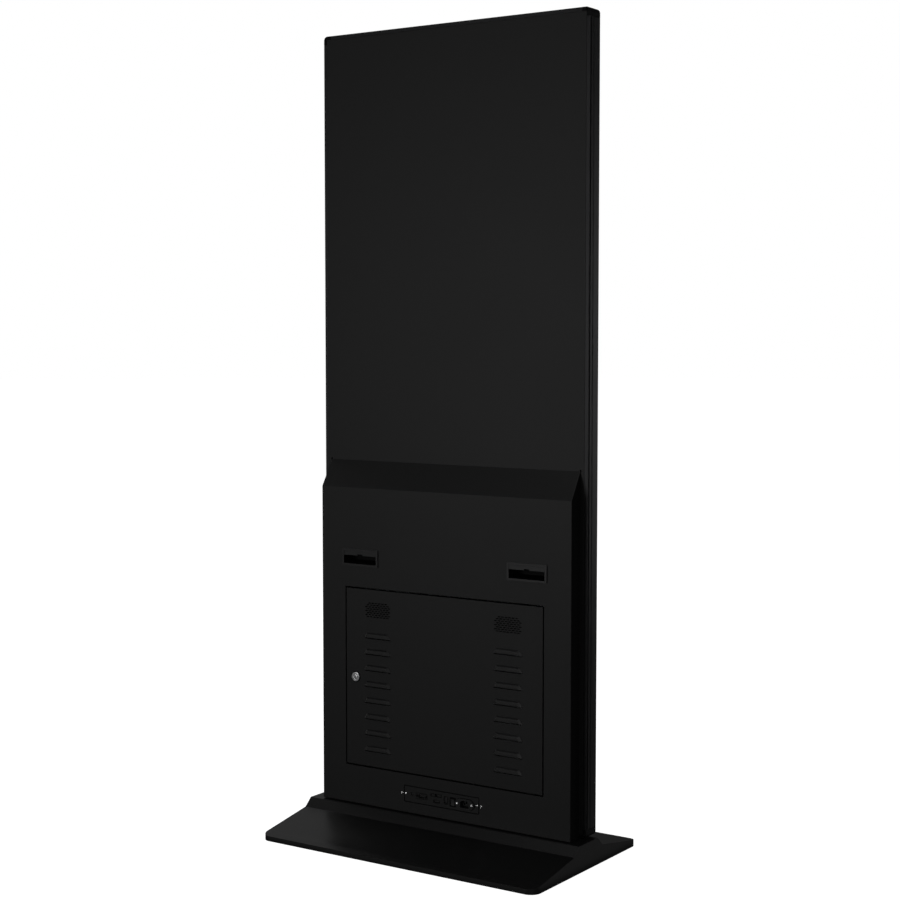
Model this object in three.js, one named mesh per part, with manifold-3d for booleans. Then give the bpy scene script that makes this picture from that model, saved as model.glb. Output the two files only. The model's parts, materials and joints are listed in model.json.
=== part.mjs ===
// Free-standing touchscreen kiosk: a 55-inch portrait screen in an aluminium frame, with a steel
// equipment housing low on its back and a wedge-shaped floor base.
// Millimetres, +Z up. The screen faces -Y. The origin is on the floor, at the centre of the base.

import * as THREE from 'three';
import { mergeVertices } from 'three/addons/utils/BufferGeometryUtils.js';
import Module from 'manifold-3d';

const wasm = await Module();
wasm.setup();

// ---------------------------------------------------------------- driving dimensions

const gap = 0.3;                 // clearance between pieces that touch

// whole kiosk
const kioskHeight = 1900;
const frameWidth = 730;
const frameBottom = 65;
const frameFront = -53;          // y of the glass face
const frameBack = -9;            // y of the flat back

// floor base
const baseWidth = 754;
const baseDepth = 462;
const baseCornerRadius = 25;
const baseWall = 3;
const baseBottom = 1.5;          // the shell hangs just clear of the floor
const baseEdgeTop = 13.5;
const ridgeFootY = 63;
const ridgeFootZ = 43;
const ridgeTopY = 42;
const ridgeTopZ = 62.5;
const ballastThickness = 8;
const footPadRadius = 25;
const footPadX = 325;
const footPadY = 180;

// steel masts that carry the screen
const mastX = 315;
const mastWidth = 50;
const mastDepth = 13;
const mastWall = 2;
const mastFront = -26;
const mastTop = 1640;
const mastFootPlate = 6;
const mastFootHalfLength = 55;
const mastFootHalfWidth = 30;
const mastCheekTop = 40;          // height of the two cheeks that hold each mast
const mastCheekHalfLength = 40;
const mastCheek = 3;
const mastClearance = 0.6;       // round the masts where they pass through other pieces

// frame profile
const railLip = 8.7;             // width of the lip round the back panel
const railWall = 5.5;
const railLedge = 13;            // reach of the ledges that hold the glass and the back panel
const rearLedgeFront = -12.3;    // y of the two ledges' inner faces
const glassLedgeBack = -46.7;
const trimGroove = [-29, -23];   // shallow groove along the middle of the outer face
const trimGrooveDepth = 1;
const capSize = 20;
const capCornerRadius = 10;
const capScrewRecess = { radius: 3.2, depth: 2.5, x: 5.3, z: 6.6 };
const sheet = 1.5;               // thickness of the back panel and the door
const seamGroove = [-16.5, frameBack - sheet];
const seamGrooveDepth = 3.5;

// screen
const glassThickness = 4;
const glassBottom = 637.5;
const activeWidth = 680.4;
const activeHeight = 1209.6;
const screenWidth = 692;
const screenHeight = 1227;
const screenBottom = 656;
const crossbarHeights = [860, 1480];
const crossbarHalfHeight = 25;
const displayGap = 7;            // from the glass's face to the display panel
const displayThickness = 9;
const backlightBack = 17;        // depth of the display and its tray together
const barReach = 342;            // half the length of the crossbars and the equipment plate

// equipment housing on the back
const housingHalfWidth = 346.5;
const housingBack = 30;          // y of its flat rear face
const housingBottom = 64;
const housingShoulder = 826;     // where the rear face turns into the slope
const housingTop = 889;
const housingWall = 2;
const backOpening = { halfWidth: 335, bottom: 90, top: 868 };   // in the back panel
const reliefSlot = { halfWidth: 2, below: 3, above: 3 };        // beside the housing's top edge
const returnDepth = 18;          // depth of the return flange round the doorway

// service door
const doorCentreZ = 372;
const doorHalfWidth = 274;
const doorHalfHeight = 212.5;
const doorGap = 3.5;
const doorFlange = 14;
const louvreCount = 8;
const louvreX = 182.5;
const louvreLength = 78;
const louvreTop = 104;           // first louvre above the door's centre
const louvrePitch = 38.9;
const louvreHeight = 12;
const louvreRise = 5;
const louvreBevel = 3.6;         // height of the slanted top of each hood
const louvreDrop = 2;            // the opening reaches this far below the hood
const grilleX = 182;
const grilleZ = 164.5;
const grilleLength = 80;
const grilleHeight = 39;

// speakers behind the grilles, with the half length and half height of each step
const speakerFlange = [45, 22];
const speakerBasket = [38, 18];
const speakerCorner = 8;
const speakerMagnetRadius = 16;
const speakerDepth = 22;

// door hinge pivots
const pivotX = -269;
const pivotY = -5.5;             // behind the door's outer face
const pivotPinRadius = 2;
const pivotHoleRadius = 2.3;
const hingeLegX = [-300, -262];
const hingeFootX = [-300, -280];
const hingeLegBack = -21;
const hingeFootLength = 32;
const hingeSheet = 3;
const hingeClearance = 0.6;      // between the door's edge and each bracket

// cam lock
const lockX = 246.5;
const lockFaceRadius = 11;
const lockBarrelRadius = 9;
const lockPlugRadius = 5.5;
const camLength = 34;

// recessed handles
const handleX = 232.5;
const handleZ = 659.3;
const handleHalfLength = 52.5;
const handleHalfHeight = 20.5;
const pocketHalfLength = 47;
const pocketHalfHeight = 15.3;
const pocketDepth = 30;
const pocketWall = 1.8;
const pocketClearance = 0.6;
const pocketFloorRise = 6.3;     // the pocket's floor climbs this much on its way in
const gripLip = 4.7;             // lower edge of the grip lip, above the handle's centre

// connector plate
const ioZ = 109.3;
const ioHalfWidth = 103.5;
const ioHalfHeight = 17.9;
const ioThickness = 2;
const ioGap = 2.2;               // between the plate and the opening round it
const connectorRow = -1.4;       // height of the mains parts from the plate's centre
const ioFrame = { halfLength: 118, halfHeight: 25, mouthHalfLength: 96, mouthHalfHeight: 16.5 };
const jackRadius = 4;
// half width and half height of each socket
const vgaShell = [8.6, 4.6];
const usbShell = [6.6, 3];
const hdmiShell = [7.6, 3];
const lanShell = [5, 8];
const switchShell = [6.6, 9.4];
const inletShell = [13.4, 9.6];
const lanX = -13.4;
const lanZ = -0.5;
const usbX = 14.6;
const usbZ = 7.4;
const usbOffset = 8;             // from the middle of the pair to each socket
const hdmiX = 13.1;
const hdmiZ = -7.2;
const vgaX = 55.2;
const vgaZ = -0.7;
const jackX = 84.5;
const jackZ = 0.3;
const rockerX = -32.8;
const rockerTilt = THREE.MathUtils.degToRad(8);
const inletX = -66.6;
const inletScrewX = 20;
const inletDepth = 20;

// equipment plate and what it carries
const plateBottom = 150;
const plateTop = 610;
const playerAt = { x: 90, z: 400 };
const playerHalfLength = 100;
const playerHalfHeight = 70;
const playerDepth = 30;
const supplyAt = { x: -150, z: 260 };
const supplyHalfLength = 80;
const supplyHalfHeight = 50;
const supplyDepth = 34;
const supplyRecess = { margin: 10, depth: 2 };
const driverBoardZ = 1180;
const touchBoardAt = { x: -150, z: 730 };

// ---------------------------------------------------------------- materials

function finish(color, roughness, metalness) {
  return new THREE.MeshStandardMaterial({ color, roughness, metalness });
}

const blackPaint = finish(0x1a1a1c, 0.42, 0.3);
const basePaint = finish(0x141416, 0.3, 0.3);
const anodised = finish(0x1f1f21, 0.38, 0.8);
const capPlastic = finish(0x0e0e0f, 0.5, 0);
const blackPlastic = finish(0x101011, 0.45, 0);
const rubber = finish(0x0c0c0c, 0.9, 0);
const blackGlass = finish(0x040506, 0.06, 0);
const displayFilm = finish(0x08080b, 0.3, 0);
const zincSteel = finish(0x9a9da1, 0.38, 0.9);
const chrome = finish(0xc9cbce, 0.16, 1);
const nickel = finish(0xb4b6b8, 0.28, 1);
const galvanised = finish(0x8b8f92, 0.5, 0.85);
const circuitBoard = finish(0x14401f, 0.5, 0);
const cordJacket = finish(0x0b0b0c, 0.6, 0);

// ---------------------------------------------------------------- shape helpers

// A three.js geometry becomes a manifold solid once its shared vertices are merged.
function toSolid(geometry) {
  geometry.deleteAttribute('normal');
  geometry.deleteAttribute('uv');
  const merged = mergeVertices(geometry, 1e-4);
  return new wasm.Manifold(new wasm.Mesh({
    numProp: 3,
    vertProperties: Float32Array.from(merged.attributes.position.array),
    triVerts: Uint32Array.from(merged.index.array),
  }));
}

function toGeometry(solid) {
  const { vertProperties, triVerts } = solid.getMesh();
  const geometry = new THREE.BufferGeometry();
  geometry.setAttribute('position', new THREE.BufferAttribute(Float32Array.from(vertProperties), 3));
  geometry.setIndex(new THREE.BufferAttribute(Uint32Array.from(triVerts), 1));
  geometry.computeVertexNormals();
  return geometry;
}

function block([x0, x1], [y0, y1], [z0, z1]) {
  const geometry = new THREE.BoxGeometry(x1 - x0, y1 - y0, z1 - z0);
  geometry.translate((x0 + x1) / 2, (y0 + y1) / 2, (z0 + z1) / 2);
  return toSolid(geometry);
}

const axisFrames = {
  // local x, y and extrusion direction of an outline swept along each axis
  x: [new THREE.Vector3(0, 1, 0), new THREE.Vector3(0, 0, 1), new THREE.Vector3(1, 0, 0)],
  y: [new THREE.Vector3(1, 0, 0), new THREE.Vector3(0, 0, 1), new THREE.Vector3(0, -1, 0)],
  z: [new THREE.Vector3(1, 0, 0), new THREE.Vector3(0, 1, 0), new THREE.Vector3(0, 0, 1)],
};

// An outline swept along an axis: (y, z) along x, (x, z) along y, or (x, y) along z.
function prism(shape, axis, [from, to], curveSegments = 6) {
  const depth = to - from;
  const geometry = new THREE.ExtrudeGeometry(shape, { depth, bevelEnabled: false, curveSegments });
  const start = new THREE.Vector3();
  start[axis] = axis === 'y' ? to : from;
  geometry.applyMatrix4(new THREE.Matrix4().makeBasis(...axisFrames[axis]).setPosition(start));
  return toSolid(geometry);
}

function polygon(points) {
  return new THREE.Shape(points.map(([u, v]) => new THREE.Vector2(u, v)));
}

function roundedRectangle(halfWidth, halfHeight, radius) {
  const shape = new THREE.Shape();
  const cornerX = halfWidth - radius;
  const cornerY = halfHeight - radius;
  shape.absarc(cornerX, -cornerY, radius, -Math.PI / 2, 0, false);
  shape.absarc(cornerX, cornerY, radius, 0, Math.PI / 2, false);
  shape.absarc(-cornerX, cornerY, radius, Math.PI / 2, Math.PI, false);
  shape.absarc(-cornerX, -cornerY, radius, Math.PI, 1.5 * Math.PI, false);
  shape.closePath();
  return shape;
}

// A cylinder along an axis, centred on (u, v) in the plane across that axis.
function rod(radius, axis, span, [u, v] = [0, 0], sides = 24) {
  const points = [];
  for (let i = 0; i < sides; i += 1) {
    const angle = 2 * Math.PI * (i + 0.5) / sides;
    points.push([u + radius * Math.cos(angle), v + radius * Math.sin(angle)]);
  }
  return prism(polygon(points), axis, span);
}

function union(solids) {
  return solids.reduce((sum, next) => sum.add(next));
}

function piece(name, solid, material, [x, y, z] = [0, 0, 0]) {
  const mesh = new THREE.Mesh(toGeometry(solid), material);
  mesh.name = name;
  mesh.position.set(x, y, z);
  return mesh;
}

function assembly(x, y, z) {
  const group = new THREE.Group();
  group.position.set(x, y, z);
  return group;
}

const sides = [['left', -1], ['right', 1]];   // left and right of someone who faces the screen

// ---------------------------------------------------------------- floor base

// The section across the base: thin edges, shallow slopes and a flat-topped ridge.
function baseSection(inset, bottom) {
  const half = baseDepth / 2 - inset;
  const edge = baseEdgeTop - inset;
  const footY = ridgeFootY - inset / 2;
  const footZ = ridgeFootZ - inset;
  const topY = ridgeTopY - inset;
  const topZ = ridgeTopZ - inset;
  return polygon([
    [-half, bottom], [half, bottom], [half, edge], [footY, footZ],
    [topY, topZ], [-topY, topZ], [-footY, footZ], [-half, edge],
  ]);
}

function baseBody(inset, bottom) {
  const halfWidth = baseWidth / 2 - inset;
  const plan = roundedRectangle(halfWidth, baseDepth / 2 - inset, baseCornerRadius - inset);
  return prism(baseSection(inset, bottom), 'x', [-halfWidth, halfWidth])
    .intersect(prism(plan, 'z', [bottom - 1, kioskHeight], 10));
}

function mastSlotX(side) {
  const half = mastWidth / 2 + mastClearance;
  return [side * mastX - half, side * mastX + half];
}

const mastSlotY = [mastFront - mastClearance, mastFront + mastDepth + mastClearance];

const ballastBottom = baseBottom + gap;
const ballastTop = ballastBottom + ballastThickness;
const mastFootBottom = ballastTop + gap;
const mastBottom = mastFootBottom + mastFootPlate + gap;

function makeBase() {
  const base = assembly(0, 0, 0);
  const slots = sides.map(([, side]) => block(mastSlotX(side), mastSlotY,
    [ridgeFootZ, ridgeTopZ + 1]));
  const shell = baseBody(0, baseBottom).subtract(baseBody(baseWall, 0)).subtract(union(slots));
  base.add(piece('base_shell', shell, basePaint));

  const inset = baseWall + gap;
  const plan = roundedRectangle(baseWidth / 2 - inset, baseDepth / 2 - inset,
    baseCornerRadius - inset);
  base.add(piece('ballast_plate', prism(plan, 'z', [0, ballastThickness], 8), galvanised,
    [0, 0, ballastBottom]));

  const pad = rod(footPadRadius, 'z', [0, baseBottom]);
  const corners = [['front_left', -1, -1], ['front_right', 1, -1],
    ['rear_left', -1, 1], ['rear_right', 1, 1]];
  for (const [place, sideX, sideY] of corners) {
    base.add(piece(`foot_pad_${place}`, pad, rubber, [sideX * footPadX, sideY * footPadY, 0]));
  }
  return base;
}

// ---------------------------------------------------------------- masts

function makeMasts() {
  const masts = assembly(0, mastFront + mastDepth / 2, 0);
  const outerX = mastWidth / 2;
  const outerY = mastDepth / 2;
  const span = [0, mastTop - mastBottom];
  const tube = block([-outerX, outerX], [-outerY, outerY], span)
    .subtract(block([-outerX + mastWall, outerX - mastWall],
      [-outerY + mastWall, outerY - mastWall], [-1, span[1] + 1]));

  const cheekInner = outerY + gap;
  const cheekOuter = cheekInner + mastCheek;
  const cheekX = [-mastCheekHalfLength, mastCheekHalfLength];
  const foot = union([
    block([-mastFootHalfLength, mastFootHalfLength], [-mastFootHalfWidth, mastFootHalfWidth],
      [0, mastFootPlate]),
    block(cheekX, [-cheekOuter, -cheekInner], [mastFootPlate - 1, mastCheekTop]),
    block(cheekX, [cheekInner, cheekOuter], [mastFootPlate - 1, mastCheekTop]),
  ]);
  for (const [place, side] of sides) {
    masts.add(piece(`mast_${place}`, tube, galvanised, [side * mastX, 0, mastBottom]));
    masts.add(piece(`mast_foot_${place}`, foot, galvanised, [side * mastX, 0, mastFootBottom]));
  }
  return masts;
}

// ---------------------------------------------------------------- aluminium frame

// Section of the frame rail: x runs out from the kiosk to 0 at its outer face, y runs back.
const glassSeat = frameFront + glassThickness + gap;
const panelSeat = frameBack - sheet - gap;
const glassEdge = -railWall - 0.2;
const railSection = polygon([
  [0, frameFront], [0, trimGroove[0]], [-trimGrooveDepth, trimGroove[0]],
  [-trimGrooveDepth, trimGroove[1]], [0, trimGroove[1]], [0, seamGroove[0]],
  [-seamGrooveDepth, seamGroove[0]], [-seamGrooveDepth, seamGroove[1]], [0, seamGroove[1]],
  [0, frameBack], [-railLip, frameBack], [-railLip, panelSeat], [-railLedge, panelSeat],
  [-railLedge, rearLedgeFront], [-railWall, rearLedgeFront], [-railWall, glassLedgeBack],
  [-railLedge, glassLedgeBack], [-railLedge, glassSeat], [glassEdge, glassSeat],
  [glassEdge, frameFront],
]);

function makeFrame() {
  const frame = assembly(0, 0, 0);
  const frameHeight = kioskHeight - frameBottom;
  const middle = (kioskHeight + frameBottom) / 2;
  const halfWidth = frameWidth / 2;
  const rails = [
    ['right', halfWidth, middle, 0, frameHeight],
    ['top', 0, kioskHeight, -Math.PI / 2, frameWidth],
    ['left', -halfWidth, middle, Math.PI, frameHeight],
    ['bottom', 0, frameBottom, Math.PI / 2, frameWidth],
  ];
  for (const [place, x, z, turn, length] of rails) {
    const half = length / 2 - capSize - gap;
    let solid = prism(railSection, 'z', [-half, half]);
    if (place === 'bottom') {
      // the masts come up through this rail
      for (const [, side] of sides) {
        solid = solid.subtract(block([-railLedge - 1, 1], mastSlotY, mastSlotX(side)));
      }
    }
    const rail = piece(`frame_rail_${place}`, solid, anodised, [x, 0, z]);
    rail.rotation.y = turn;
    frame.add(rail);
  }

  // corner cap, drawn with its outer corner at x = 0, z = 0
  const outline = new THREE.Shape();
  outline.moveTo(-capSize, -capSize);
  outline.lineTo(0, -capSize);
  outline.absarc(-capCornerRadius, -capCornerRadius, capCornerRadius, 0, Math.PI / 2, false);
  outline.lineTo(-capSize, 0);
  outline.closePath();
  const past = -capSize - 1;
  const recess = capScrewRecess;
  const cap = prism(outline, 'y', [frameFront, frameBack])
    .subtract(block([past, glassEdge], [frameFront - 1, glassSeat], [past, glassEdge]))
    .subtract(block([past, -railWall], [glassLedgeBack, rearLedgeFront], [past, -railWall]))
    .subtract(block([past, -railLip], [panelSeat, frameBack + 1], [past, -railLip]))
    .subtract(rod(recess.radius, 'y', [frameBack - recess.depth, frameBack + 1],
      [-recess.x, -recess.z], 16));
  const caps = [
    ['top_right', halfWidth, kioskHeight, 0], ['top_left', -halfWidth, kioskHeight, -Math.PI / 2],
    ['bottom_left', -halfWidth, frameBottom, Math.PI],
    ['bottom_right', halfWidth, frameBottom, Math.PI / 2],
  ];
  for (const [place, x, z, turn] of caps) {
    const corner = piece(`corner_cap_${place}`, cap, capPlastic, [x, 0, z]);
    corner.rotation.y = turn;
    frame.add(corner);
  }
  return frame;
}

// ---------------------------------------------------------------- screen and front

function makeScreen() {
  const screen = assembly(0, frameFront, 0);
  const inner = railWall + 0.5;
  const halfWidth = frameWidth / 2 - inner;
  const glassTop = kioskHeight - inner;
  screen.add(piece('touch_glass', block([-halfWidth, halfWidth], [0, glassThickness],
    [glassBottom, glassTop]), blackGlass));

  const panelBottom = frameBottom + inner;
  const panelTop = glassBottom - 0.5;
  const fold = 2;
  const tray = block([-halfWidth, halfWidth], [0, glassThickness], [panelBottom, panelTop])
    .subtract(block([-halfWidth + fold, halfWidth - fold], [fold, glassThickness + 1],
      [panelBottom + fold, panelTop - fold]));
  screen.add(piece('lower_front_panel', tray, blackPaint));

  // angle bar behind the joint between the glass and the lower panel
  const barBack = glassThickness + gap;
  const barLeg = 2.5;
  const barReturn = barBack + 16;
  const barBottom = glassBottom - 17.5;
  const barTop = glassBottom + 12.5;
  const barSection = polygon([
    [barBack, barBottom], [barReturn, barBottom], [barReturn, barBottom + barLeg],
    [barBack + barLeg, barBottom + barLeg], [barBack + barLeg, barTop], [barBack, barTop],
  ]);
  const barHalf = frameWidth / 2 - railLedge - gap;
  screen.add(piece('middle_crossbar', prism(barSection, 'x', [-barHalf, barHalf]), galvanised));

  const display = new THREE.Group();
  display.position.set(0, displayGap, screenBottom + screenHeight / 2);
  const halfScreenWidth = screenWidth / 2;
  const halfScreenHeight = screenHeight / 2;
  const panel = block([-halfScreenWidth, halfScreenWidth], [0, displayThickness],
    [-halfScreenHeight, halfScreenHeight])
    .subtract(block([-activeWidth / 2, activeWidth / 2], [-1, 1], [-activeHeight / 2, activeHeight / 2]));
  display.add(piece('lcd_panel', panel, displayFilm));

  const trayFront = displayThickness + gap;
  const trayWall = 1.5;
  const backlight = block([-halfScreenWidth, halfScreenWidth], [trayFront, backlightBack],
    [-halfScreenHeight, halfScreenHeight])
    .subtract(block([-halfScreenWidth + trayWall, halfScreenWidth - trayWall],
      [trayFront - 1, backlightBack - trayWall],
      [-halfScreenHeight + trayWall, halfScreenHeight - trayWall]));
  display.add(piece('backlight_tray', backlight, galvanised));
  screen.add(display);

  const boardsAt = displayGap + backlightBack + gap;   // from the glass's face
  const boards = assembly(0, boardsAt, 0);
  const barDepth = mastFront - gap - (frameFront + boardsAt);
  for (const [index, z] of crossbarHeights.entries()) {
    const bar = block([-barReach, barReach], [0, barDepth],
      [-crossbarHalfHeight, crossbarHalfHeight]);
    boards.add(piece(`screen_crossbar_${index + 1}`, bar, galvanised, [0, 0, z]));
  }
  boards.add(piece('driver_board', board(240, 160, [[-60, 20, 70, 50, 4], [55, 30, 40, 40, 3],
    [0, -60, 180, 22, 5]]), circuitBoard, [0, 0, driverBoardZ]));
  boards.add(piece('touch_controller', board(96, 44, [[-20, 0, 24, 24, 2], [30, 0, 18, 28, 5]]),
    circuitBoard, [touchBoardAt.x, 0, touchBoardAt.z]));
  screen.add(boards);
  return screen;
}

// A circuit board on four stand-offs, with [x, z, width, height, thickness] for each component.
function board(width, height, components) {
  const boardFront = 6;
  const boardBack = 7.6;
  const solids = [block([-width / 2, width / 2], [boardFront, boardBack], [-height / 2, height / 2])];
  for (const [, sideX] of sides) {
    for (const [, sideZ] of sides) {
      const centre = [sideX * (width / 2 - 7), sideZ * (height / 2 - 7)];
      solids.push(rod(3, 'y', [0, boardBack + 1.5], centre, 8));
    }
  }
  for (const [x, z, wide, high, thick] of components) {
    solids.push(block([x - wide / 2, x + wide / 2], [boardBack - 0.5, boardBack + thick],
      [z - high / 2, z + high / 2]));
  }
  return union(solids);
}

// ---------------------------------------------------------------- back panel and housing

function makeBack() {
  const back = assembly(0, frameBack, 0);
  const inner = railLip + gap;
  const halfWidth = frameWidth / 2 - inner;
  let panel = block([-halfWidth, halfWidth], [-sheet, 0], [frameBottom + inner, kioskHeight - inner])
    .subtract(block([-backOpening.halfWidth, backOpening.halfWidth], [-sheet - 1, 1],
      [backOpening.bottom, backOpening.top]));
  for (const [, side] of sides) {
    const x = side * housingHalfWidth;
    panel = panel.subtract(block([x - reliefSlot.halfWidth, x + reliefSlot.halfWidth],
      [-sheet - 1, 1], [housingTop - reliefSlot.below, housingTop + reliefSlot.above]));
  }
  back.add(piece('rear_panel', panel, blackPaint));
  return back;
}

// The housing's (y, z) section, inset by a wall thickness, and closed or open at its front.
function housingSection(inset, front) {
  const run = housingBack - frameBack - gap;
  const rise = housingTop - housingShoulder;
  const slope = Math.hypot(run, rise);
  const back = housingBack - inset;
  const heightAt = (y) => housingShoulder + ((housingBack - y) * rise - inset * slope) / run;
  return polygon([
    [front, housingBottom + inset], [back, housingBottom + inset],
    [back, heightAt(back)], [front, heightAt(front)],
  ]);
}

function makeHousing() {
  const front = frameBack + gap;
  const halfWidth = housingHalfWidth;
  const inside = halfWidth - housingWall;
  const openX = doorHalfWidth + doorGap;
  const openBottom = doorCentreZ - doorHalfHeight - doorGap;
  const openTop = doorCentreZ + doorHalfHeight + doorGap;
  const through = [housingBack - housingWall - 1, housingBack + 1];
  const pocketX = pocketHalfLength + pocketWall + pocketClearance;
  const pocketZ = pocketHalfHeight + pocketWall + pocketClearance;
  const cuts = [
    block([-openX, openX], through, [openBottom, openTop]),
    block([-ioHalfWidth - ioGap, ioHalfWidth + ioGap], through,
      [ioZ - ioHalfHeight - ioGap, ioZ + ioHalfHeight + ioGap]),
  ];
  for (const [, side] of sides) {
    cuts.push(block([side * handleX - pocketX, side * handleX + pocketX], through,
      [handleZ - pocketZ, handleZ + pocketZ]));
  }
  const returnY = [housingBack - housingWall - returnDepth, housingBack - housingWall + 0.5];
  const returnStart = -245;        // the return stops short of the hinge brackets
  const returnEnd = openX + housingWall;
  const returns = [
    block([openX, returnEnd], returnY, [openBottom - housingWall, openTop + housingWall]),
    block([returnStart, returnEnd], returnY, [openTop, openTop + housingWall]),
    block([returnStart, returnEnd], returnY, [openBottom - housingWall, openBottom]),
  ];
  const shell = prism(housingSection(0, front), 'x', [-halfWidth, halfWidth])
    .subtract(prism(housingSection(housingWall, front - 1), 'x', [-inside, inside]))
    .subtract(union(cuts))
    .add(union(returns));
  const housing = assembly(0, 0, 0);
  housing.add(piece('lower_housing', shell, blackPaint));

  // pivot brackets, above and below the hinge side of the door
  for (const [place, side] of [['lower', -1], ['upper', 1]]) {
    const legStart = doorHalfHeight + doorGap + hingeClearance;
    const legZ = [legStart, legStart + hingeSheet];
    const mirrored = ([low, high]) => (side > 0 ? [low, high] : [-high, -low]);
    const wallFace = -housingWall - gap;
    const bracket = union([
      block(hingeLegX, [hingeLegBack, wallFace], mirrored(legZ)),
      block(hingeFootX, [wallFace - hingeSheet, wallFace],
        mirrored([legStart, legZ[1] + hingeFootLength])),
    ]).subtract(rod(pivotHoleRadius, 'z', mirrored([legZ[0] - 1, legZ[1] + 1]), [pivotX, pivotY], 16));
    const pin = union([
      rod(pivotPinRadius, 'z', mirrored([doorHalfHeight - 12, legZ[1] + 1]), [0, 0], 16),
      rod(pivotPinRadius * 1.5, 'z', mirrored([legZ[1] + gap, legZ[1] + 3]), [0, 0], 16),
    ]);
    housing.add(piece(`hinge_bracket_${place}`, bracket, zincSteel, [0, housingBack, doorCentreZ]));
    housing.add(piece(`hinge_pin_${place}`, pin, zincSteel,
      [pivotX, housingBack + pivotY, doorCentreZ]));
  }
  return housing;
}

// ---------------------------------------------------------------- service door

// A pressed louvre, open downwards: its hood and the hollow under it, with the bottom at z = 0.
function louvreSections() {
  const metal = 1.2;
  const root = -sheet / 2;
  const shoulder = louvreHeight - louvreBevel;
  const hood = polygon([
    [root, 0], [louvreRise, 0], [louvreRise - 0.4, shoulder], [0.2, louvreHeight],
    [root, louvreHeight],
  ]);
  const inner = louvreRise - metal;
  const back = -2 * sheet;
  const hollow = polygon([
    [back, -louvreDrop], [inner, -louvreDrop], [inner - 0.4, shoulder - 0.8],
    [-0.2, louvreHeight - 1.6], [back, louvreHeight - 1.6],
  ]);
  return { metal, hood, hollow };
}

function louvreCuts(solid) {
  const { metal, hood, hollow } = louvreSections();
  let result = solid;
  for (let row = 0; row < louvreCount; row += 1) {
    for (const [, side] of sides) {
      const centre = side * louvreX;
      const bottom = louvreTop - row * louvrePitch - louvreHeight / 2;
      const outer = [centre - louvreLength / 2, centre + louvreLength / 2];
      const inner = [outer[0] + metal, outer[1] - metal];
      result = result.add(prism(hood, 'x', outer).translate([0, 0, bottom]))
        .subtract(prism(hollow, 'x', inner).translate([0, 0, bottom]));
    }
  }
  return result;
}

// Staggered rows of short slots inside an outline with round ends.
function grilleCuts() {
  const rows = 8;
  const rowPitch = 4.7;
  const columnPitch = 9.4;
  const slot = { halfLength: 3.6, halfHeight: 1.25 };
  const edge = grilleHeight / 2;
  const through = [-sheet - 1, 1];
  const cuts = [];
  for (let row = 0; row < rows; row += 1) {
    const z = (row - (rows - 1) / 2) * rowPitch;
    const reach = grilleLength / 2 - edge + Math.sqrt(edge ** 2 - z ** 2);
    const height = [grilleZ + z - slot.halfHeight, grilleZ + z + slot.halfHeight];
    const stagger = row % 2 ? columnPitch / 2 : 0;
    for (let x = stagger - 5 * columnPitch; x < reach; x += columnPitch) {
      if (Math.abs(x) + slot.halfLength < reach) {
        for (const [, side] of sides) {
          const centre = side * grilleX + x;
          cuts.push(block([centre - slot.halfLength, centre + slot.halfLength], through, height));
        }
      }
    }
  }
  return union(cuts);
}

function makeDoor() {
  const door = assembly(0, housingBack, doorCentreZ);
  const x = doorHalfWidth;
  const z = doorHalfHeight;
  let skin = block([-x, x], [-doorFlange, 0], [-z, z])
    .subtract(block([-x + sheet, x - sheet], [-doorFlange - 1, -sheet], [-z + sheet, z - sheet]));
  skin = louvreCuts(skin)
    .subtract(grilleCuts())
    .subtract(rod(lockBarrelRadius + gap, 'y', [-sheet - 1, 1], [lockX, 0]))
    .subtract(rod(pivotHoleRadius, 'z', [-z - 1, z + 1], [pivotX, pivotY], 16));
  door.add(piece('service_door', skin, blackPaint));

  const flangeFace = -sheet - gap;
  const magnetFront = flangeFace - 12;
  const speaker = union([
    prism(roundedRectangle(...speakerFlange, speakerCorner), 'y', [flangeFace - 2, flangeFace], 3),
    prism(roundedRectangle(...speakerBasket, speakerCorner), 'y', [magnetFront, flangeFace - 1], 3),
    rod(speakerMagnetRadius, 'y', [flangeFace - speakerDepth, magnetFront + 1]),
  ]);
  for (const [place, side] of sides) {
    door.add(piece(`speaker_${place}`, speaker, blackPlastic, [side * grilleX, 0, grilleZ]));
  }
  door.add(makeLock());
  return door;
}

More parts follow.
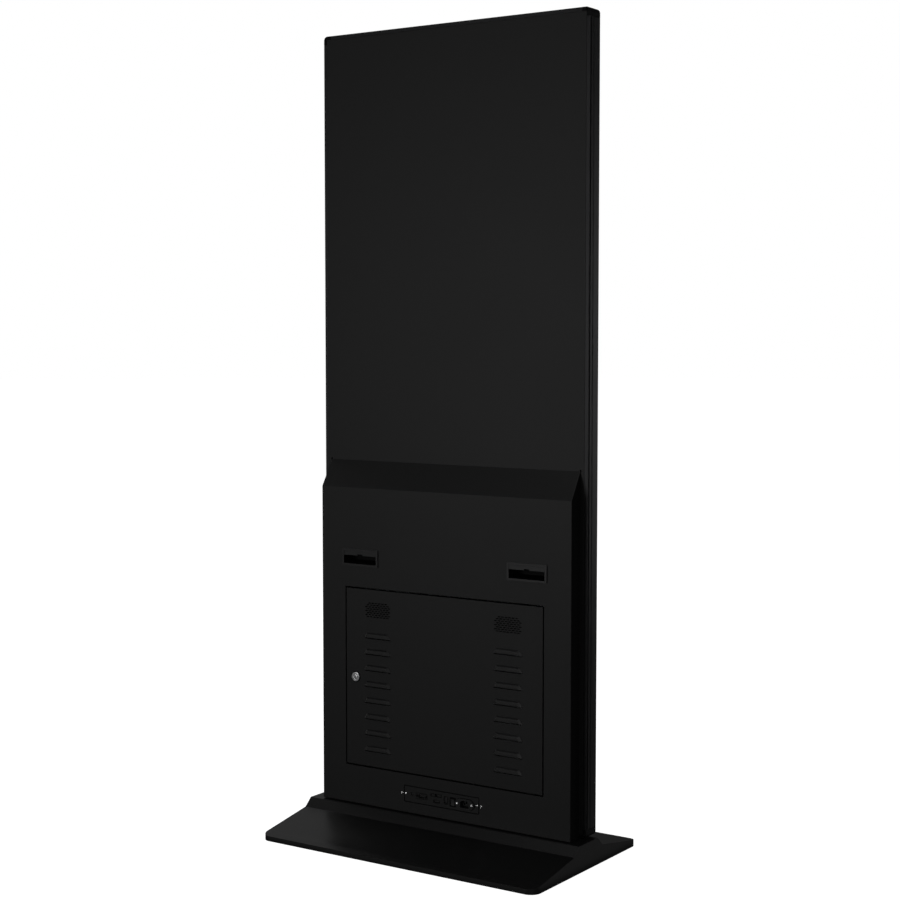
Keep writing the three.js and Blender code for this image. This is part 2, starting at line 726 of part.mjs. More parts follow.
function makeLock() {
  const lock = assembly(lockX, 0, 0);
  const barrelBack = -20;
  const faceRise = 2.8;
  const barrel = union([
    rod(lockFaceRadius, 'y', [gap, faceRise], [0, 0], 32),
    rod(lockBarrelRadius, 'y', [barrelBack, 1], [0, 0], 24),
  ]).subtract(rod(lockPlugRadius + gap, 'y', [barrelBack - 1, faceRise + 1]));
  lock.add(piece('lock_barrel', barrel, chrome));

  const nutRadius = 13.5;
  const nutBack = -5.5;
  const nut = rod(nutRadius, 'y', [nutBack, -sheet - gap], [0, 0], 6)
    .subtract(rod(lockBarrelRadius + gap, 'y', [nutBack - 1, 0]));
  lock.add(piece('lock_nut', nut, zincSteel));

  const shank = 3.5;
  const shankEnd = -24;
  const keySlot = { half: 0.9, reach: 3.6, depth: 5 };
  const plug = union([
    rod(lockPlugRadius, 'y', [barrelBack - 0.4, faceRise]),
    block([-shank, shank], [shankEnd, barrelBack], [-shank, shank]),
    rod(shank * 1.5, 'y', [shankEnd - 1.5, shankEnd + 0.5], [0, 0], 16),
  ]).subtract(block([-keySlot.half, keySlot.half], [faceRise - keySlot.depth, faceRise + 1],
    [-keySlot.reach, keySlot.reach]));
  lock.add(piece('lock_plug', plug, chrome));

  // the cam stands straight up when unlocked, and points to the doorway's edge when locked
  const camHalf = 7;
  const outline = new THREE.Shape();
  outline.absarc(0, 0, camHalf, Math.PI, 2 * Math.PI, false);
  outline.lineTo(camHalf, camLength);
  outline.lineTo(-camHalf, camLength);
  outline.closePath();
  const hole = shank + gap;
  const cam = prism(outline, 'y', [shankEnd + 0.8, barrelBack - 0.7], 8)
    .subtract(block([-hole, hole], [shankEnd, barrelBack], [-hole, hole]));
  lock.add(piece('lock_cam', cam, zincSteel));
  return lock;
}

// ---------------------------------------------------------------- recessed handles

function makeHandles() {
  const handles = assembly(0, housingBack, handleZ);
  const bezelRise = 2.8;
  const bodyX = pocketHalfLength + pocketWall;
  const bodyZ = pocketHalfHeight + pocketWall;

  // Outline of the recess from the side, grown by a wall thickness, with its climbing floor.
  const recess = (grow, front) => polygon([
    [front, -pocketHalfHeight - grow], [-2, -pocketHalfHeight - grow],
    [-pocketDepth - grow, pocketFloorRise - pocketHalfHeight - grow],
    [-pocketDepth - grow, pocketHalfHeight + grow], [front, pocketHalfHeight + grow],
  ]);
  const pocket = prism(recess(0, bezelRise + 1), 'x', [-pocketHalfLength, pocketHalfLength]);
  const body = prism(recess(pocketWall, 1), 'x', [-bodyX, bodyX]);
  const lipDepth = 5;
  const notch = { half: 7, height: 3 };
  const lip = block([-bodyX, bodyX], [-lipDepth, bezelRise - 1], [gripLip, bodyZ])
    .subtract(block([-notch.half, notch.half], [-lipDepth - 1, bezelRise],
      [gripLip - 1, gripLip + notch.height]));
  const bezel = prism(roundedRectangle(handleHalfLength, handleHalfHeight, 2), 'y',
    [gap, bezelRise], 3);
  const cup = bezel.add(body).subtract(pocket).add(lip);
  for (const [place, side] of sides) {
    handles.add(piece(`handle_cup_${place}`, cup, blackPlastic, [side * handleX, 0, 0]));
  }
  return handles;
}

// ---------------------------------------------------------------- connector plate

// A connector shell with a blind mouth, and a tongue or insert standing in it.
function connector([halfWidth, halfHeight], radius, tongue) {
  const metal = 0.8;
  const shell = prism(roundedRectangle(halfWidth, halfHeight, radius), 'y', [-14, 0.6], 3)
    .subtract(prism(roundedRectangle(halfWidth - metal, halfHeight - metal, radius / 2), 'y',
      [-9, 1], 3));
  return shell.add(block([-tongue[0], tongue[0]], [-10, -1.5], [tongue[1], tongue[2]]));
}

function makeConnectors() {
  const io = assembly(0, housingBack, ioZ);
  const through = [-ioThickness - 1, 1];
  const hole = ([halfWidth, halfHeight], x, z) => block(
    [x - halfWidth - gap, x + halfWidth + gap], through,
    [z - halfHeight - gap, z + halfHeight + gap]);
  const plate = block([-ioHalfWidth, ioHalfWidth], [-ioThickness, 0], [-ioHalfHeight, ioHalfHeight])
    .subtract(union([
      rod(jackRadius + gap, 'y', through, [jackX, jackZ], 16),
      hole(vgaShell, vgaX, vgaZ),
      hole([usbOffset + usbShell[0], usbShell[1]], usbX, usbZ),
      hole(hdmiShell, hdmiX, hdmiZ),
      hole(lanShell, lanX, lanZ),
      hole(switchShell, rockerX, connectorRow),
      hole(inletShell, inletX, connectorRow),
    ]));
  io.add(piece('connector_plate', plate, blackPaint));

  const rim = -ioThickness - gap;
  const { halfLength, halfHeight, mouthHalfLength, mouthHalfHeight } = ioFrame;
  const ring = block([-halfLength, halfLength], [rim - 2, rim], [-halfHeight, halfHeight])
    .subtract(block([-mouthHalfLength, mouthHalfLength], [rim - 3, rim + 1],
      [-mouthHalfHeight, mouthHalfHeight]));
  io.add(piece('connector_bracket', ring, galvanised));

  const jack = rod(jackRadius, 'y', [-14, 0.8], [0, 0], 16).subtract(rod(1.8, 'y', [-11, 1], [0, 0], 10));
  io.add(piece('audio_jack', jack, blackPlastic, [jackX, 0, jackZ]));
  // the VGA socket has a flange on the plate's face, for its two jack screws
  const vgaFlange = prism(roundedRectangle(15.4, 6.2, 1.5), 'y', [gap, 1.1], 3)
    .subtract(prism(roundedRectangle(7.8, 3.8, 1), 'y', [0, 2], 3));
  const vga = connector(vgaShell, 2, [6.8, -2.6, 2.6]).add(vgaFlange);
  io.add(piece('vga_port', vga, nickel, [vgaX, 0, vgaZ]));
  io.add(piece('hdmi_port', connector(hdmiShell, 1.2, [5.6, -0.6, 0.8]), nickel,
    [hdmiX, 0, hdmiZ]));
  io.add(piece('lan_port', connector(lanShell, 0.8, [2.6, -6.4, -5]), blackPlastic,
    [lanX, 0, lanZ]));

  const usbSocket = connector(usbShell, 0.5, [5.2, 0.2, 1.8]);
  const usb = union([
    usbSocket.translate([-usbOffset, 0, 0]),
    usbSocket.translate([usbOffset, 0, 0]),
    block([-2, 2], [-13, -4], [-1.5, 1.5]),
  ]);
  io.add(piece('usb_ports', usb, nickel, [usbX, 0, usbZ]));

  io.add(makeInlet());
  io.add(makeSwitch());
  return io;
}

// Three-pin mains inlet on an oval flange with a screw at each end.
function makeInlet() {
  const inlet = assembly(inletX, 0, connectorRow);
  const cutCorner = 5;
  const socket = (halfWidth, halfHeight) => polygon([
    [-halfWidth, -halfHeight], [halfWidth, -halfHeight],
    [halfWidth, halfHeight - cutCorner], [halfWidth - cutCorner, halfHeight],
    [-halfWidth + cutCorner, halfHeight], [-halfWidth, halfHeight - cutCorner],
  ]);
  const flange = polygon([
    [-inletScrewX - 5.5, -5], [-15, -12.5], [15, -12.5], [inletScrewX + 5.5, -5],
    [inletScrewX + 5.5, 5], [15, 12.5], [-15, 12.5], [-inletScrewX - 5.5, 5],
  ]);
  const flangeRise = 3.2;
  const mouthBack = -14;
  const wall = 1.4;
  let body = union([
    prism(flange, 'y', [gap, flangeRise]),
    prism(socket(...inletShell), 'y', [-inletDepth, 1]),
  ]).subtract(prism(socket(inletShell[0] - wall, inletShell[1] - wall), 'y',
    [mouthBack, flangeRise + 1]));
  for (const [x, z] of [[-7, -1.5], [0, 2.5], [7, -1.5]]) {
    body = body.add(block([x - 1, x + 1], [mouthBack - 1, -3.5], [z - 2, z + 2]));
  }
  for (const [, side] of sides) {
    body = body.subtract(rod(1.7, 'y', [-1, flangeRise + 1], [side * inletScrewX, 0], 12));
  }
  inlet.add(piece('mains_inlet', body, blackPlastic));
  return inlet;
}

function makeSwitch() {
  const power = assembly(rockerX, 0, connectorRow);
  const wellX = 5.6;
  const wellZ = 9;
  const bezelRise = 2;
  const holder = union([
    prism(roundedRectangle(7.7, 10.6, 1.5), 'y', [gap, bezelRise], 3),
    block([-switchShell[0], switchShell[0]], [-17, 1], [-switchShell[1], switchShell[1]]),
  ]).subtract(block([-wellX, wellX], [-14, bezelRise + 1], [-8.7, 8.7]));
  power.add(piece('switch_body', holder, blackPlastic));

  // the rocker turns on a cross axis through its own origin, and rests with its lower end pressed
  const reach = wellZ - 0.9;
  const outline = polygon([
    [-4, -4], [4, -4], [reach - 0.6, 0], [reach - 0.4, 4.6], [0, 3.4], [-reach + 0.4, 4.6],
    [-reach + 0.6, 0],
  ].map(([z, y]) => [y, z]));
  const rocker = piece('power_rocker', prism(outline, 'x', [-wellX + gap, wellX - gap]),
    blackPlastic, [0, -3, 0]);
  rocker.rotation.x = -rockerTilt;
  power.add(rocker);
  return power;
}

// ---------------------------------------------------------------- equipment and its leads

function makeEquipment() {
  const equipment = assembly(0, mastFront - gap, 0);
  const plate = block([-barReach, barReach], [-2, 0], [plateBottom, plateTop]);
  equipment.add(piece('equipment_plate', plate, galvanised));

  // media player: a ribbed case
  const ribPitch = 20;
  const grooveHalf = 4;
  const grooveDepth = 3;
  const ribReach = playerHalfHeight + 1;
  let player = block([-playerHalfLength, playerHalfLength], [gap, playerDepth],
    [-playerHalfHeight, playerHalfHeight]);
  for (let x = -4 * ribPitch; x <= 4 * ribPitch; x += ribPitch) {
    player = player.subtract(block([x - grooveHalf, x + grooveHalf],
      [playerDepth - grooveDepth, playerDepth + 1], [-ribReach, ribReach]));
  }
  equipment.add(piece('media_player', player, blackPlastic,
    [playerAt.x, 0, playerAt.z]));

  const recessX = supplyHalfLength - supplyRecess.margin;
  const recessZ = supplyHalfHeight - supplyRecess.margin;
  const supply = block([-supplyHalfLength, supplyHalfLength], [gap, supplyDepth],
    [-supplyHalfHeight, supplyHalfHeight])
    .subtract(block([-recessX, recessX], [supplyDepth - supplyRecess.depth, supplyDepth + 1],
      [-recessZ, recessZ]));
  equipment.add(piece('power_supply', supply, zincSteel,
    [supplyAt.x, 0, supplyAt.z]));

  const leads = assembly(0, 0, 0);
  const inletRear = new THREE.Vector3(inletX, housingBack - inletDepth - 2 * gap,
    ioZ + connectorRow);
  const supplyFoot = new THREE.Vector3(supplyAt.x, -10, supplyAt.z - supplyHalfHeight - gap);
  leads.add(lead('mains_lead', 3.5, [
    inletRear,
    new THREE.Vector3(inletX, -4, ioZ + connectorRow),
    new THREE.Vector3(-80, -13, 118),
    new THREE.Vector3(-135, -12, 152),
    new THREE.Vector3(supplyAt.x, -10, 184),
    supplyFoot,
  ], 24));
  leads.add(lead('video_lead', 3, [
    new THREE.Vector3(110, -10, playerAt.z + playerHalfHeight + gap),
    new THREE.Vector3(110, -10, 500),
    new THREE.Vector3(80, -17.5, 620),
    new THREE.Vector3(60, -17.5, 800),
    new THREE.Vector3(50, -17.5, 980),
    new THREE.Vector3(50, -17.5, 1085),
    new THREE.Vector3(50, -17.5, 1108.6),
  ], 30));
  const group = new THREE.Group();
  group.add(equipment, leads);
  return group;
}

// A round lead along a smooth curve.
function lead(name, radius, points, steps) {
  const section = new THREE.Shape();
  const corners = 8;
  for (let i = 0; i < corners; i += 1) {
    const angle = 2 * Math.PI * i / corners;
    const [u, v] = [radius * Math.cos(angle), radius * Math.sin(angle)];
    if (i === 0) section.moveTo(u, v);
    else section.lineTo(u, v);
  }
  section.closePath();
  const curve = new THREE.CatmullRomCurve3(points, false, 'centripetal');
  const geometry = new THREE.ExtrudeGeometry(section, { steps, extrudePath: curve, bevelEnabled: false });
  return piece(name, toSolid(geometry), cordJacket);
}

// ---------------------------------------------------------------- whole kiosk

const group = new THREE.Group();
group.add(
  makeBase(), makeMasts(), makeFrame(), makeScreen(), makeBack(), makeHousing(), makeDoor(),
  makeHandles(), makeConnectors(), makeEquipment(),
);

export default group;
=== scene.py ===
"""Looks of the free-standing touchscreen kiosk: black powder-coated steel and anodised frame."""

import json
import math
import random

import bmesh
import bpy
from mathutils import Matrix, Vector


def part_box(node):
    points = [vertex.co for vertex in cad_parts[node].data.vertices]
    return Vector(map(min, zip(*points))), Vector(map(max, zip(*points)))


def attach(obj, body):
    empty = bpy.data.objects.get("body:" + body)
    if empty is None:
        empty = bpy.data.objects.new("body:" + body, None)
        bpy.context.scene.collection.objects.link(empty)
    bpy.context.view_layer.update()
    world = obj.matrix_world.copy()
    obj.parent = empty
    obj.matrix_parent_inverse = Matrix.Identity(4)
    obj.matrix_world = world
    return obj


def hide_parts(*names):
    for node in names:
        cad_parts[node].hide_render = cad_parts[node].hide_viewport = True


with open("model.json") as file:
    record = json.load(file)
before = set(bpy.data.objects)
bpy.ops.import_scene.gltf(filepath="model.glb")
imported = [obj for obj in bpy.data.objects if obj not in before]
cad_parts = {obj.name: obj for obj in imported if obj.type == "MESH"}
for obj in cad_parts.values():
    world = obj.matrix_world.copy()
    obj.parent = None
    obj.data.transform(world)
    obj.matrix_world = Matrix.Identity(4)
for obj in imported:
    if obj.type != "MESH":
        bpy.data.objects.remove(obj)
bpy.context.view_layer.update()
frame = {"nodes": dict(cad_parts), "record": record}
random.seed(11)

MM = 0.001
AXES = {"x": Vector((1, 0, 0)), "y": Vector((0, 1, 0)), "z": Vector((0, 0, 1))}
BODY_OF = {node: body for body, nodes in frame["record"]["behaviour"]["bodies"].items() for node in nodes}
SLOT_OF = {entry["node"]: entry["material_slot"] for entry in frame["record"]["subparts"]}
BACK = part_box("lower_housing")[1].y / MM      # y of the housing's rear face, in millimetres
MERGE = 2e-6                                  # vertices nearer than this, in metres, are one


# ---------------------------------------------------------------- stage, camera and light

def aim(obj, location, direction):
    """Places obj at location with its -Z axis along direction."""
    obj.location = location
    obj.rotation_mode = "QUATERNION"
    obj.rotation_quaternion = Vector(direction).to_track_quat("-Z", "Y")


def make_camera():
    """A long lens behind the kiosk, a little to its left side and looking slightly down."""
    data = bpy.data.cameras.new("camera")
    data.sensor_width = 36.0
    data.lens = 70.97
    data.clip_end = 100.0
    camera = bpy.data.objects.new("camera", data)
    bpy.context.scene.collection.objects.link(camera)
    heading, drop = 0.5932, 0.0677
    aim(camera, (-2.291, 3.391, 1.201),
        (math.sin(heading) * math.cos(drop), -math.cos(heading) * math.cos(drop), -math.sin(drop)))
    bpy.context.scene.camera = camera


def soft_box(name, location, target, width, height, power):
    """A rectangular area light aimed at target, out of the camera's sight."""
    data = bpy.data.lights.new(name, "AREA")
    data.shape = "RECTANGLE"
    data.size = width
    data.size_y = height
    data.energy = power
    light = bpy.data.objects.new(name, data)
    bpy.context.scene.collection.objects.link(light)
    aim(light, location, Vector(target) - Vector(location))
    light.visible_camera = False


def make_lights():
    middle = (0.0, 0.0, 0.9)
    side_distance = 5.2
    soft_box("rear_key", (2.15, 5.0, 1.1), (0.0, 0.0, 0.95), 1.9, 2.2, 32)
    soft_box("rear_right_fill", (-4.0, 4.0, 1.6), (0.0, 0.0, 0.7), 1.4, 2.0, 50)
    soft_box("front_left_fill", (4.0, -3.4, 2.7), (0.0, 0.0, 0.4), 3.0, 3.0, 5)
    soft_box("front_right_fill", (-2.1, -5.3, 1.0), (0.0, 0.0, 0.8), 1.4, 2.0, 13)
    soft_box("crown", (3.6, -1.2, 5.0), (0.0, 0.0, 0.3), 1.8, 1.8, 18)
    soft_box("top", (0.0, 1.6, 5.3), middle, 3.0, 3.0, 30)
    for name, side in (("left_side", -1), ("right_side", 1)):
        soft_box(name, (side * side_distance, 0.0, 1.5), middle, 1.6, 2.4, 14)
    # light that the pale floor throws back beside the base
    soft_box("end_bounce", (-0.7, -0.35, 0.004), (-0.7, -0.35, 1.0), 0.62, 1.1, 0.12)
    soft_box("rear_bounce", (0.3, 0.44, 0.004), (0.3, 0.44, 1.0), 1.4, 0.4, 0.1)


def make_world():
    """White behind the object, and a dim grey room for light and reflections."""
    world = bpy.data.worlds.new("studio")
    bpy.context.scene.world = world
    world.use_nodes = True
    nodes, links = world.node_tree.nodes, world.node_tree.links
    nodes.clear()
    room = nodes.new("ShaderNodeBackground")
    room.inputs["Color"].default_value = (1.0, 1.0, 1.0, 1)
    ray = nodes.new("ShaderNodeTexCoord")
    split = nodes.new("ShaderNodeSeparateXYZ")
    ramp = nodes.new("ShaderNodeMapRange")
    ramp.inputs["From Min"].default_value = -0.5
    ramp.inputs["From Max"].default_value = 0.1
    ramp.inputs["To Min"].default_value = 0.02
    ramp.inputs["To Max"].default_value = 0.055
    links.new(ray.outputs["Generated"], split.inputs["Vector"])
    links.new(split.outputs["Z"], ramp.inputs["Value"])
    links.new(ramp.outputs["Result"], room.inputs["Strength"])
    backdrop = nodes.new("ShaderNodeBackground")
    backdrop.inputs["Color"].default_value = (1, 1, 1, 1)
    backdrop.inputs["Strength"].default_value = 1.0
    path = nodes.new("ShaderNodeLightPath")
    mix = nodes.new("ShaderNodeMixShader")
    out = nodes.new("ShaderNodeOutputWorld")
    links.new(path.outputs["Is Camera Ray"], mix.inputs["Fac"])
    links.new(room.outputs["Background"], mix.inputs[1])
    links.new(backdrop.outputs["Background"], mix.inputs[2])
    links.new(mix.outputs["Shader"], out.inputs["Surface"])


def make_floor(material):
    """A wide pale disc that carries no light to the kiosk."""
    floor_radius = 40.0
    bm = bmesh.new()
    bmesh.ops.create_circle(bm, cap_ends=True, segments=128, radius=floor_radius)
    floor = loose("floor", mesh_from(bm, "floor"))
    floor.data.materials.append(material)
    floor.visible_glossy = False
    floor.visible_diffuse = False


# ---------------------------------------------------------------- materials

def surface(name, colour, roughness, metallic=0.0, specular=0.5, coat=0.0, grain=900.0,
            grain_depth=0.02, stretch=(1, 1, 1), blotch=6.0, variation=0.12,
            roughness_spread=0.05, transmission=0.0, emission=None):
    """A procedural finish in real-world scale: fine grain in bump, slow drifts in colour and gloss."""
    coat_roughness = 0.1
    smoothest = 0.02
    material = bpy.data.materials.new(name)
    material.use_nodes = True
    nodes, links = material.node_tree.nodes, material.node_tree.links
    shader = nodes["Principled BSDF"]
    shader.inputs["Metallic"].default_value = metallic
    shader.inputs["Specular IOR Level"].default_value = specular
    shader.inputs["Coat Weight"].default_value = coat
    shader.inputs["Coat Roughness"].default_value = coat_roughness
    shader.inputs["Transmission Weight"].default_value = transmission

    place = nodes.new("ShaderNodeTexCoord")
    drift = nodes.new("ShaderNodeTexNoise")
    drift.inputs["Scale"].default_value = blotch
    drift.inputs["Detail"].default_value = 5.0
    links.new(place.outputs["Object"], drift.inputs["Vector"])

    tint = nodes.new("ShaderNodeValToRGB")
    tint.color_ramp.elements[0].position = 0.3
    tint.color_ramp.elements[1].position = 0.7
    tint.color_ramp.elements[0].color = (*[c * (1 - variation) for c in colour], 1)
    tint.color_ramp.elements[1].color = (*[c * (1 + variation) for c in colour], 1)
    links.new(drift.outputs["Fac"], tint.inputs["Fac"])
    links.new(tint.outputs["Color"], shader.inputs["Base Color"])

    stretcher = nodes.new("ShaderNodeMapping")
    stretcher.inputs["Scale"].default_value = stretch
    links.new(place.outputs["Object"], stretcher.inputs["Vector"])
    fine = nodes.new("ShaderNodeTexNoise")
    fine.inputs["Scale"].default_value = grain
    fine.inputs["Detail"].default_value = 3.0
    links.new(stretcher.outputs["Vector"], fine.inputs["Vector"])

    spread = nodes.new("ShaderNodeMapRange")
    spread.inputs["To Min"].default_value = max(roughness - roughness_spread, smoothest)
    spread.inputs["To Max"].default_value = roughness + roughness_spread
    blend = nodes.new("ShaderNodeMath")
    blend.operation = "MULTIPLY_ADD"
    blend.inputs[1].default_value = 0.5
    links.new(fine.outputs["Fac"], blend.inputs[0])
    half = nodes.new("ShaderNodeMath")
    half.operation = "MULTIPLY"
    half.inputs[1].default_value = 0.5
    links.new(drift.outputs["Fac"], half.inputs[0])
    links.new(half.outputs["Value"], blend.inputs[2])
    links.new(blend.outputs["Value"], spread.inputs["Value"])
    links.new(spread.outputs["Result"], shader.inputs["Roughness"])

    bump = nodes.new("ShaderNodeBump")
    bump.inputs["Strength"].default_value = 0.6
    bump.inputs["Distance"].default_value = grain_depth * MM
    links.new(fine.outputs["Fac"], bump.inputs["Height"])
    links.new(bump.outputs["Normal"], shader.inputs["Normal"])
    if emission:
        shader.inputs["Emission Color"].default_value = (*emission, 1)
        shader.inputs["Emission Strength"].default_value = 1.0
    return material


def make_materials():
    m = {}
    m["black_powder_coat"] = surface("powder_coat", (0.0036, 0.0036, 0.0037), 0.5, specular=0.38,
                                     grain=700, grain_depth=0.035, blotch=3)
    m["base_powder_coat"] = surface("base_coat", (0.0035, 0.0035, 0.0036), 0.36, specular=0.45,
                                    grain=500, grain_depth=0.012, blotch=4, roughness_spread=0.03)
    m["black_anodised"] = surface("anodised", (0.036, 0.036, 0.037), 0.45, metallic=1.0,
                                  grain=60, stretch=(60, 60, 1), grain_depth=0.012, blotch=8)
    m["cap_plastic"] = surface("cap_plastic", (0.002, 0.002, 0.0021), 0.5, specular=0.12,
                               grain=1800, grain_depth=0.03, blotch=20)
    m["black_plastic"] = surface("black_plastic", (0.0055, 0.0055, 0.0058), 0.4, specular=0.4,
                                 grain=1500, grain_depth=0.03, blotch=15)
    m["speaker_plastic"] = surface("speaker_plastic", (0.008, 0.008, 0.008), 0.6, grain=1500,
                                   grain_depth=0.04, blotch=15)
    m["rubber"] = surface("rubber", (0.01, 0.01, 0.01), 0.85, grain=900, grain_depth=0.06, blotch=30)
    m["touch_glass"] = surface("touch_glass", (0.9, 0.95, 0.93), 0.03, grain=300, grain_depth=0.0005,
                               transmission=1.0, roughness_spread=0.005, variation=0.01)
    m["display"] = surface("display_film", (0.006, 0.006, 0.008), 0.22, grain=2500, grain_depth=0.004,
                           blotch=2)
    m["border_print"] = surface("border_print", (0.0015, 0.0015, 0.0017), 0.3, grain=1200,
                                grain_depth=0.003)
    m["zinc_steel"] = surface("zinc_steel", (0.5, 0.51, 0.53), 0.34, metallic=1.0, grain=260,
                              grain_depth=0.02, blotch=45, variation=0.18)
    m["galvanised"] = surface("galvanised", (0.34, 0.36, 0.37), 0.45, metallic=1.0, grain=120,
                              grain_depth=0.02, blotch=90, variation=0.25, roughness_spread=0.12)
    m["lock_chrome"] = surface("lock_chrome", (0.86, 0.86, 0.87), 0.3, metallic=1.0, grain=600,
                               grain_depth=0.003, blotch=60, variation=0.05)
    m["screw_steel"] = surface("screw_steel", (0.8, 0.8, 0.8), 0.2, metallic=1.0, grain=800,
                               grain_depth=0.006, blotch=200)
    m["dark_screw"] = surface("dark_screw", (0.03, 0.03, 0.032), 0.35, metallic=1.0, grain=800,
                              grain_depth=0.006, blotch=200)
    # a darker, less glossy copy of the black paint for the housing's side walls: painted shade
    m["side_wall_shade_black"] = surface("side_wall_shade_black", (0.0015, 0.0015, 0.0015), 0.6, specular=0.12, grain=700,
                              grain_depth=0.035, blotch=3)
    # near-black plastic for the switch and bracket, also used as painted shade in the handle pockets, the
    # contact holes and the dark outlines round the lock and the sockets
    m["near_black_and_shade"] = surface("near_black_and_shade", (0.0012, 0.0012, 0.0012), 0.55, specular=0.1,
                                grain=1500, grain_depth=0.03, blotch=15)
    m["rocker_plastic"] = surface("rocker_plastic", (0.03, 0.03, 0.03), 0.3, grain=1500,
                                  grain_depth=0.01, blotch=60)
    m["nickel"] = surface("nickel", (0.032, 0.032, 0.032), 0.4, metallic=1.0, grain=900,
                          grain_depth=0.006, blotch=120)
    m["circuit_board"] = surface("solder_mask", (0.012, 0.09, 0.03), 0.3, grain=500,
                                 grain_depth=0.02, blotch=60, coat=0.3)
    m["lead_jacket"] = surface("lead_jacket", (0.01, 0.01, 0.01), 0.5, grain=900, grain_depth=0.02)
    m["grille_cloth"] = surface("grille_cloth", (0.0012, 0.0012, 0.0012), 0.95, specular=0.03,
                                grain=2200, grain_depth=0.15)
    m["floor"] = surface("studio_floor", (0.82, 0.82, 0.82), 0.9, specular=0.1, grain=60,
                         grain_depth=0.05, blotch=0.4, variation=0.008, emission=(0.97, 0.97, 0.97))
    return m


# ---------------------------------------------------------------- mesh helpers

def finish_mesh(mesh, angle):
    """Shades a mesh smooth, apart from edges sharper than angle, in degrees."""
    mesh.polygons.foreach_set("use_smooth", [True] * len(mesh.polygons))
    mesh.set_sharp_from_angle(angle=math.radians(angle))
    mesh.update()


def add_piece(name, mesh, material, body, angle=35.0):
    """Links a finished mesh as a piece that rides on a CAD body."""
    finish_mesh(mesh, angle)
    obj = loose(name, mesh)
    mesh.materials.clear()
    mesh.materials.append(material)
    even = obj.modifiers.new("even_normals", "WEIGHTED_NORMAL")
    even.keep_sharp = True
    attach(obj, body)
    return obj


def mesh_from(bm, name):
    """Turns a finished bmesh into a mesh."""
    mesh = bpy.data.meshes.new(name)
    bm.normal_update()
    bm.to_mesh(mesh)
    bm.free()
    return mesh


def round_edges(bm, edges, radius, segments):
    """Rounds edges with a radius in metres."""
    edges = [e for e in edges if e.is_valid and len(e.link_faces) == 2]
    if edges:
        bmesh.ops.bevel(bm, geom=edges, offset=radius, offset_type="OFFSET", segments=segments,
                        profile=0.5, affect="EDGES", clamp_overlap=True)


def crisp(bm, angle):
    """The edges where two faces meet at more than angle, in degrees."""
    return [e for e in bm.edges if len(e.link_faces) == 2
            and e.calc_face_angle(0.0) > math.radians(angle)]


def cad_mesh(node):
    """A clean copy of a CAD node's mesh, its flat faces joined up, ready to have its edges rounded."""
    flat = 0.4
    bm = bmesh.new()
    bm.from_mesh(frame["nodes"][node].data)
    bmesh.ops.remove_doubles(bm, verts=bm.verts, dist=MERGE)
    bmesh.ops.dissolve_limit(bm, angle_limit=math.radians(flat), verts=bm.verts, edges=bm.edges,
                             delimit=set())
    bm.normal_update()
    return bm


def refine(node, materials, radius=0.4, segments=3, bends=None, material=None):
    """Stands a rounded-edge copy in for a CAD node. bends is the radius where two wide faces meet."""
    wide_face = 0.0035
    bend_segments = 5
    bend_angle, edge_angle = 8.0, 50.0
    bm = cad_mesh(node)
    if bends:
        wide = [e for e in crisp(bm, bend_angle)
                if min(f.calc_area() for f in e.link_faces) > wide_face]
        round_edges(bm, wide, bends * MM, bend_segments)
    round_edges(bm, crisp(bm, edge_angle), radius * MM, segments)
    obj = add_piece(node + "_finish", mesh_from(bm, node), material or materials[SLOT_OF[node]],
                    BODY_OF[node])
    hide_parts(node)
    return obj


def lathe(name, profile, axis, centre, segments=48):
    """Turns (radius, height) points about an axis through centre. Height runs along the axis."""
    bm = bmesh.new()
    rings = []
    for radius, height in profile:
        if radius == 0:
            rings.append([bm.verts.new((0, 0, height * MM))])
            continue
        ring = []
        for i in range(segments):
            a = 2 * math.pi * i / segments
            ring.append(bm.verts.new((radius * MM * math.cos(a), radius * MM * math.sin(a),
                                      height * MM)))
        rings.append(ring)
    for low, high in zip(rings, rings[1:]):
        for i in range(segments):
            j = (i + 1) % segments
            if len(low) == 1 and len(high) == 1:
                continue
            if len(low) == 1:
                bm.faces.new((low[0], high[j], high[i]))
            elif len(high) == 1:
                bm.faces.new((low[i], low[j], high[0]))
            else:
                bm.faces.new((low[i], low[j], high[j], high[i]))
    bmesh.ops.recalc_face_normals(bm, faces=bm.faces)
    turn = AXES["z"].rotation_difference(AXES[axis]).to_matrix().to_4x4()
    bm.transform(Matrix.Translation(centre) @ turn)
    return mesh_from(bm, name)


def box_mesh(bm, low, high, bevel=0.0):
    """Adds a box between two corners, in millimetres, with its edges rounded."""
    low, high = Vector(low) * MM, Vector(high) * MM
    made = bmesh.ops.create_cube(bm, size=1.0)["verts"]
    size = high - low
    middle = (low + high) / 2
    for v in made:
        v.co = Vector(middle[i] + v.co[i] * size[i] for i in range(3))
    if bevel:
        edges = {e for v in made for e in v.link_edges}
        bmesh.ops.bevel(bm, geom=list(edges), offset=bevel * MM, segments=2, profile=0.5,
                        affect="EDGES", clamp_overlap=True)


def cut(obj, cutter):
    """Takes the cutter's mesh out of obj and deletes the cutter."""
    modifier = obj.modifiers.new("cut", "BOOLEAN")
    modifier.object = cutter
    modifier.solver = "EXACT"
    bpy.context.view_layer.update()
    mesh = bpy.data.meshes.new_from_object(obj.evaluated_get(bpy.context.evaluated_depsgraph_get()))
    obj.modifiers.remove(modifier)
    obj.data = mesh
    bpy.data.objects.remove(cutter)


def loose(name, data):
    """Links data, a mesh or a curve, as an object that is not yet a piece."""
    obj = bpy.data.objects.new(name, data)
    bpy.context.scene.collection.objects.link(obj)
    return obj


